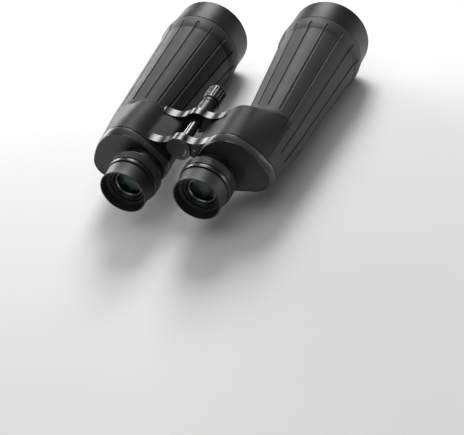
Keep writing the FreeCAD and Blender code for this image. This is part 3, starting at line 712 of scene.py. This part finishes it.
# ---------------------------------------------------------------- hinge lugs
def solid(points_2d, y0, y1):
    """A prism object from a closed (x, z) line, in metres, for boolean work."""
    count = len(points_2d)
    at = [((x) / 1000, (y - THREAD_MOUTH) / 1000, z / 1000) for y in (y0, y1) for x, z in points_2d]
    faces = [tuple(range(count)), tuple(range(2 * count - 1, count - 1, -1))]
    faces += [(i, (i + 1) % count, count + (i + 1) % count, count + i) for i in range(count)]
    mesh = bpy.data.meshes.new("solid")
    mesh.from_pydata(at, [], faces)
    work = bmesh.new()
    work.from_mesh(mesh)
    bmesh.ops.recalc_face_normals(work, faces=work.faces)
    work.to_mesh(mesh)
    work.free()
    made = bpy.data.objects.new("solid", mesh)
    bpy.context.scene.collection.objects.link(made)
    return made


def disc_line(radius, count=96, centre=HINGE):
    return [(centre[0] + radius * math.sin(2 * math.pi * k / count),
             centre[1] + radius * math.cos(2 * math.pi * k / count))
            for k in range(count)]


def combine(base, other, operation):
    modifier = base.modifiers.new(operation, "BOOLEAN")
    modifier.operation = operation
    modifier.solver = "EXACT"
    modifier.object = other
    bake_modifiers(base)
    bpy.data.objects.remove(other)
    return base


def bake_modifiers(obj):
    graph = bpy.context.evaluated_depsgraph_get()
    mesh = bpy.data.meshes.new_from_object(obj.evaluated_get(graph))
    obj.modifiers.clear()
    obj.data = mesh


LUG_PROFILE = ([(5.2, 9.69)] + arc((5.2, 9.69), (9.8, 7.1), (16.0, 5.7), 14)
               + arc((16.0, 5.7), (24.5, 6.9), (32.0, 10.7), 20) + [(36.0, 9.0), (36.0, -11.0),
                                                                    (14.4, -11.2)]
               + [(8.2, -7.33), (0.5, -2.0)])
LUG_WIDTH, KNUCKLE_R, KNUCKLE_GAP = 9.2, 11.0, 0.3
NEAR_LUG, FAR_LUG = 51.0, 91.5


def lug(side, name, start, rear_half):
    middle, end = start + LUG_WIDTH / 2, start + LUG_WIDTH
    rear = (start, middle - KNUCKLE_GAP / 2)
    front = (middle + KNUCKLE_GAP / 2, end)
    own, other = (rear, front) if rear_half else (front, rear)
    pocket = (other[0] - KNUCKLE_GAP, other[1] + 1) if rear_half else (other[0] - 1, other[1] + KNUCKLE_GAP)
    web = solid(LUG_PROFILE, start, end)
    web = combine(web, solid(disc_line(KNUCKLE_R + 0.35), *pocket), "DIFFERENCE")
    web = combine(web, solid(disc_line(KNUCKLE_R), *own), "UNION")
    web = combine(web, solid(disc_line(BUSH_R if side == "right" else SHAFT_R, 64), start - 2, end + 2),
                  "DIFFERENCE")
    edge = web.modifiers.new("edge", "BEVEL")
    edge.width, edge.segments = 0.00045, 3
    edge.limit_method, edge.angle_limit = "ANGLE", math.radians(50)
    bake_modifiers(web)
    mesh = web.data
    bpy.data.objects.remove(web)
    if side == "left":
        mesh.transform(Matrix.Scale(-1, 4, (1, 0, 0)))
        mesh.flip_normals()
    mesh.materials.clear()
    dress("%s_%s_lug" % (side, name), mesh, "lug_paint", side + "_half", sharp=34.0)


for side in SIDES:
    lug(side, "near", NEAR_LUG, side == "left")
    lug(side, "far", FAR_LUG, side == "right")


# ---------------------------------------------------------------- front sleeves and objectives
def sphere_cap(vertex, rim_radius, sag, count=14):
    """(r, station) points on a lens face, from the axis to the rim."""
    radius = (rim_radius ** 2 + sag ** 2) / (2 * abs(sag))
    sign = 1 if sag > 0 else -1
    steps = [rim_radius * k / count for k in range(count + 1)]
    return [(r, vertex + sign * (radius - math.sqrt(radius ** 2 - r ** 2))) for r in steps]


def front_end(side):
    half = side + "_half"
    sleeve = rounded([(39.4, 247.2), (42.25, 247.2, 0.5), (41.15, 262.0), (41.1, LENGTH, 1.5),
                      (38.9, LENGTH, 0.8), (38.5, 264.0), (39.4, 262.4)], 6)
    lathe(side + "_dew_shield", sleeve, OBJ, "sleeve_anodised", half, (side + "_front_sleeve",), side, 200)
    groove = rounded([(36.6, 257.5), (35.0, 257.72, 0.1), (35.0, 262.6, 0.3), (36.2, 264.4, 0.3),
                      (37.1, 264.4, 0.2), (37.1, 263.0), (35.8, 263.0), (35.8, 257.5)][1:], 4)
    lathe(side + "_lens_ring", groove, OBJ, "cell_anodised", half, (side + "_objective_retaining_ring",),
          side, 160)
    rear, front = sphere_cap(252.2, 35.8, 3.4), sphere_cap(262.0, 35.8, -4.6)
    disc_lathe(side + "_crown", front + rear[::-1], OBJ, "coated_glass", half, (side + "_crown_lens",),
               side, 160)


for side in SIDES:
    front_end(side)


# ---------------------------------------------------------------- eyepieces
KNURL_START, KNURL_END, KNURL_R = 20.4, 28.7, 24.3
KNURL_COUNT, KNURL_PITCH = 100, 1.38


def knurl(angles, r, y):
    """A diamond knurl of V grooves between the two ends of the gripping band."""
    radius = np.full(len(angles), float(r))
    if not (KNURL_START < y < KNURL_END and abs(r - KNURL_R) < 0.01):
        return radius
    turn = angles / (2 * math.pi) * KNURL_COUNT
    along = (y - KNURL_START) / KNURL_PITCH
    depth = np.zeros(len(angles))
    for sign in (-1, 1):
        across = np.abs((turn + sign * along) % 1.0 - 0.5) * 2
        depth = np.maximum(depth, np.clip((across - 0.45) / 0.55, 0, 1))
    fade = min(1.0, (y - KNURL_START) / 0.3, (KNURL_END - y) / 0.3)
    return radius - 0.42 * depth * fade


def eyepiece(side):
    half, ring_body, carriage = side + "_half", side + "_ring", side + "_lens_carriage"
    neck = rounded([(18.05, 32.2), (18.95, 32.2, 0.25), (18.95, 37.6, 0.2), (18.6, 38.1), (18.6, 38.9),
                    (18.98, 39.3, 0.2), (18.98, 42.6), (19.9, 42.6), (19.9, 44.4), (18.05, 44.4)], 4)
    lathe(side + "_neck", neck, EYE, "tube_anodised", half, (side + "_eyepiece_base",), side)
    band = [(KNURL_R, y) for y in np.linspace(KNURL_START, KNURL_END, 49)]
    profile = ([(15.95, 10.4), (18.4, 10.4), (18.4, 16.2)]
               + rounded([(18.4, 16.2), (23.55, 16.2, 0.45), (23.75, 19.5, 0.15), (23.45, 19.8, 0.1),
                          (23.45, 20.1), (18.4, 20.1)], 4)[1:-1]
               + [(24.1, 20.3)] + band
               + rounded([(24.3, 28.6), (24.25, 29.45, 0.6), (18.05, 29.5)], 4)[1:-1]
               + [(18.05, 29.5), (18.05, 19.0), (15.95, 19.0)])
    lathe(side + "_grip_ring", profile, EYE, "ring_anodised", ring_body, (side + "_focus_ring",), side, 800,
          knurl,
          weighted=False, sharp=48.0)
    cup = rounded([(18.4, 10.2), (18.4, 15.6, 0.1), (22.5, 15.6, 0.4), (22.1, 11.0), (21.6, 5.0),
                   (22.2, 0.0, 0.5),
                   (20.9, 0.3, 0.5), (20.3, 5.2), (19.8, 8.3, 0.8), (17.4, 8.8, 0.5), (17.1, 10.2, 0.3)], 5)
    piece = lathe(side + "_cup", cup, EYE, "eyecup_rubber", ring_body, (side + "_eyecup",), side,
                  CUP_SEGMENTS)
    polish(piece, CUP_SEGMENTS, [k for k, (_, y) in enumerate(cup) if y < 0.35])
    tube = rounded([(13.0, 13.4), (13.0, 12.2, 0.2), (14.8, 9.6, 0.3), (16.7, 9.6, 0.2), (16.7, 10.2),
                    (15.9, 10.2),
                    (15.9, 19.2), (18.0, 19.2), (18.0, 42.4), (16.4, 42.4), (16.4, 22.0), (13.8, 22.0),
                    (13.8, 42.4), (12.6, 42.4), (12.6, 40.0), (11.8, 40.0), (11.8, 13.4)], 4)
    lathe(side + "_lens_tube", tube, EYE, "tube_anodised", carriage, (side + "_lens_barrel",), side)
    bright = rounded([(11.3, 12.7, 0.15), (12.1, 11.85, 0.3), (12.9, 12.05, 0.2), (12.9, 13.4),
                      (11.7, 13.4), (11.7, 15.3), (11.3, 15.0)], 4)
    lathe(side + "_lens_bezel", bright, EYE, "bright_ring", carriage, (side + "_eye_retaining_ring",), side)
    rear = sphere_cap(13.9, 11.8, 1.7)
    disc_lathe(side + "_ocular", rear + [(11.8, 18.6), (0.0, 18.6)], EYE, "coated_glass", carriage,
               (side + "_eye_lens",), side, 120)


for side in SIDES:
    eyepiece(side)


# ---------------------------------------------------------------- hinge line
def hinge_line():
    cap = ([(0.0, 49.02), (4.0, 49.02)]
           + rounded([(4.0, 49.02), (8.1, 49.02, 0.1), (8.3, 49.2, 0.08), (8.6, 49.2, 0.08),
                      (8.85, 48.82, 0.12),
                      (10.9, 48.86, 0.9), (11.75, 49.7, 0.6), (11.8, 50.7, 0.15), (3.5, 50.7), (3.5, 49.8)],
                     4)[1:-1]
           + [(3.5, 50.7), (3.5, 49.8), (0.0, 49.8)])
    # The cap wears the lightened paint, whose extra lightness is painted reflection of the floor.
    disc_lathe("scale_disc", cap, HINGE, "cap_satin_painted_reflection", "left_half", ("scale_cap",), segments=160,
               slot="gloss_black")
    tube = rounded([(4.0, 60.5), (5.4, 60.5, 0.35), (5.4, 91.2, 0.35), (4.0, 91.2)], 4)
    lathe("hinge_tube", tube, HINGE, "gloss_black", "left_half", ("hinge_sleeve",), segments=96)
    post = rounded([(4.0, 100.8), (8.4, 100.8, 0.3), (8.4, 108.0), (8.4, 117.6, 0.15), (7.9, 118.0),
                    (7.9, 118.9),
                    (8.4, 119.3, 0.15), (8.4, 123.2, 0.5), (6.4, 123.2), (6.4, 140.4), (5.8, 140.4),
                    (5.8, 141.4),
                    (6.4, 141.4), (6.4, 143.0, 0.3), (4.4, 143.0), (4.4, 116.7), (4.0, 116.7)], 4)
    lathe("tripod_neck", post, HINGE, "tube_anodised", "left_half", ("tripod_post",), segments=120,
          slot="tube_anodised")

    def ribs(angles, r, y):
        radius = np.full(len(angles), float(r))
        if r < 9.0 or not 125.4 < y < 140.1:
            return radius
        across = np.abs((angles / (2 * math.pi) * 16) % 1.0 - 0.5) * 2
        depth = np.clip((across - 0.58) / 0.20, 0, 1)
        depth = depth * depth * (3 - 2 * depth)
        crown = 0.10 * np.clip(across / 0.58, 0, 1) ** 2
        ends = min(1.0, (y - GRIP_START) / GRIP_FADE, (GRIP_END - y) / GRIP_FADE)
        return radius - (0.85 * depth + crown) * ends

    grip = [(9.4, y) for y in np.concatenate([np.linspace(124.6, 127.0, 9), np.linspace(128.0, 138.0, 6),
                                              np.linspace(138.6, 141.0, 9)])]
    knob = ([(6.45, 123.4)] + rounded([(6.45, 123.4), (9.35, 123.4, 0.8), (9.4, 126.0)], 5)[1:-1] + grip
            + rounded([(9.4, 139.0), (9.3, 142.1, 0.7), (8.2, 142.1, 0.3), (8.2, 140.3)], 5)[1:-1]
            + [(8.2, 140.3), (6.45, 140.3)])
    lathe("ribbed_knob", knob, HINGE, "ring_anodised", "knob", ("tension_knob",), segments=512, shape=ribs,
          weighted=False,
          sharp=48.0)
    dot = [(0.0, 50.82), (0.55, 50.85), (0.9, 50.93), (1.05, 51.05), (1.05, 51.5), (0.0, 51.5)]
    disc_lathe("pointer_dot", dot, (14.6, -1.5), "white_paint", "right_half", ("index_dot",), segments=48)


hinge_line()


def scale_marks():
    """Small numbers and ticks of the eyepiece-spacing scale, on the cap's raised ring."""
    points, faces = [], []
    for k in range(9):
        angle = math.radians(96 + k * 6.0)
        long = 1.5 if k % 4 == 0 else 0.9
        u = Vector((math.sin(angle), 0, math.cos(angle)))
        v = Vector((math.cos(angle), 0, -math.sin(angle)))
        base = len(points)
        for y in (48.70, 49.0):
            for r, w in ((10.9 - long, -0.09), (10.9, -0.09), (10.9, 0.09), (10.9 - long, 0.09)):
                p = u * r + v * w
                points.append((p.x, y + (0.06 if r > 10.8 else 0.04), p.z))
        quads = [(0, 1, 2, 3), (7, 6, 5, 4), (0, 4, 5, 1), (1, 5, 6, 2), (2, 6, 7, 3), (3, 7, 4, 0)]
        faces += [tuple(base + i for i in q) for q in quads]
    add_piece("scale_ticks", points, faces, "white_paint", "left_half", slot="white_paint", weighted=False)
    for k, text in enumerate(("60", "65", "70")):
        angle = math.radians(98 + k * 22.0)
        curve = bpy.data.curves.new("number", "FONT")
        curve.body = text
        curve.size = 0.0030
        curve.extrude = 0.00004
        curve.align_x, curve.align_y = "CENTER", "CENTER"
        made = bpy.data.objects.new("number", curve)
        bpy.context.scene.collection.objects.link(made)
        spot = Vector((7.4 * math.sin(angle), 48.97 - THREAD_MOUTH, 7.4 * math.cos(angle))) / 1000
        upright = Matrix.Rotation(math.radians(90), 4, "X")
        turn = Matrix.Rotation(angle, 4, "Y")
        made.matrix_world = Matrix.Translation(spot) @ turn @ upright
        bpy.context.view_layer.update()
        graph = bpy.context.evaluated_depsgraph_get()
        mesh = bpy.data.meshes.new_from_object(made.evaluated_get(graph))
        mesh.transform(made.matrix_world)
        bpy.data.objects.remove(made)
        mesh.materials.clear()
        dress("scale_number_%d" % k, mesh, "white_paint", "left_half", weighted=False)


scale_marks()


# ---------------------------------------------------------------- carried-over CAD nodes
SLOT_OF = {row["node"]: row["material_slot"] for row in frame["record"]["subparts"]}
for name, node in frame["nodes"].items():
    node.data.materials.clear()
    node.data.materials.append(MATERIALS[SLOT_OF[name]])
    for face in node.data.polygons:
        face.use_smooth = True
    node.data.set_sharp_from_angle(angle=math.radians(30))


# ---------------------------------------------------------------- floor, light and camera
def studio():
    lowest = min(CAD_BOX[0][2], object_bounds()[0][2])
    bpy.ops.mesh.primitive_plane_add(size=12.0, location=(0, 0, lowest))
    floor = bpy.context.object
    floor.name = "floor"
    material, tree, shader = node_material("pale_floor")
    slow = object_noise(tree, 3.0, 3.0)
    link(tree, ramp(tree, slow, (0.80, 0.80, 0.80), (0.83, 0.83, 0.83)), shader.inputs["Base Color"])
    shader.inputs["Roughness"].default_value = 0.9
    floor.data.materials.append(material)
    floor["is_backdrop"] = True

    world = bpy.data.worlds.new("studio")
    bpy.context.scene.world = world
    world.use_nodes = True
    world.node_tree.nodes["Background"].inputs["Color"].default_value = (1.0, 1.0, 1.0, 1)
    world.node_tree.nodes["Background"].inputs["Strength"].default_value = 0.05

    def area(name, direction, distance, size, power):
        way = Vector(direction).normalized()
        light = bpy.data.lights.new(name, "AREA")
        light.shape = "RECTANGLE"
        light.size, light.size_y = size
        light.energy = power
        lamp = bpy.data.objects.new(name, light)
        bpy.context.scene.collection.objects.link(lamp)
        lamp.location = Vector((0, 0.02, 0)) + way * distance
        lamp.rotation_mode = "QUATERNION"
        lamp.rotation_quaternion = way.to_track_quat("Z", "Y")
        return lamp

    area("back_box", (-0.16, 0.70, 0.68), 1.6, (0.60, 1.0), 25)
    area("left_box", (-0.86, 0.45, 0.16), 1.6, (1.2, 0.7), 26)
    area("right_box", (0.90, 0.40, 0.10), 1.6, (0.9, 0.35), 7)
    area("overhead", (0.0, -0.2, 1.0), 2.0, (2.6, 2.6), 18)
    bpy.context.scene.view_settings.view_transform = "Standard"


def photo_camera():
    right = Vector((0.911, 0.366, -0.191))
    look = Vector((-0.402, 0.684, -0.608)).normalized()
    right = (right - look * right.dot(look)).normalized()
    up = right.cross(look)
    data = bpy.data.cameras.new("camera")
    data.lens, data.sensor_width = 74.03, 36.0
    data.clip_start, data.clip_end = 0.01, 50.0
    camera = bpy.data.objects.new("camera", data)
    bpy.context.scene.collection.objects.link(camera)
    axes = Matrix((right, up, -look)).transposed().to_4x4()
    camera.matrix_world = Matrix.Translation(Vector((0.3903, -0.6949, 0.4604))) @ axes
    bpy.context.scene.camera = camera


studio()
photo_camera()
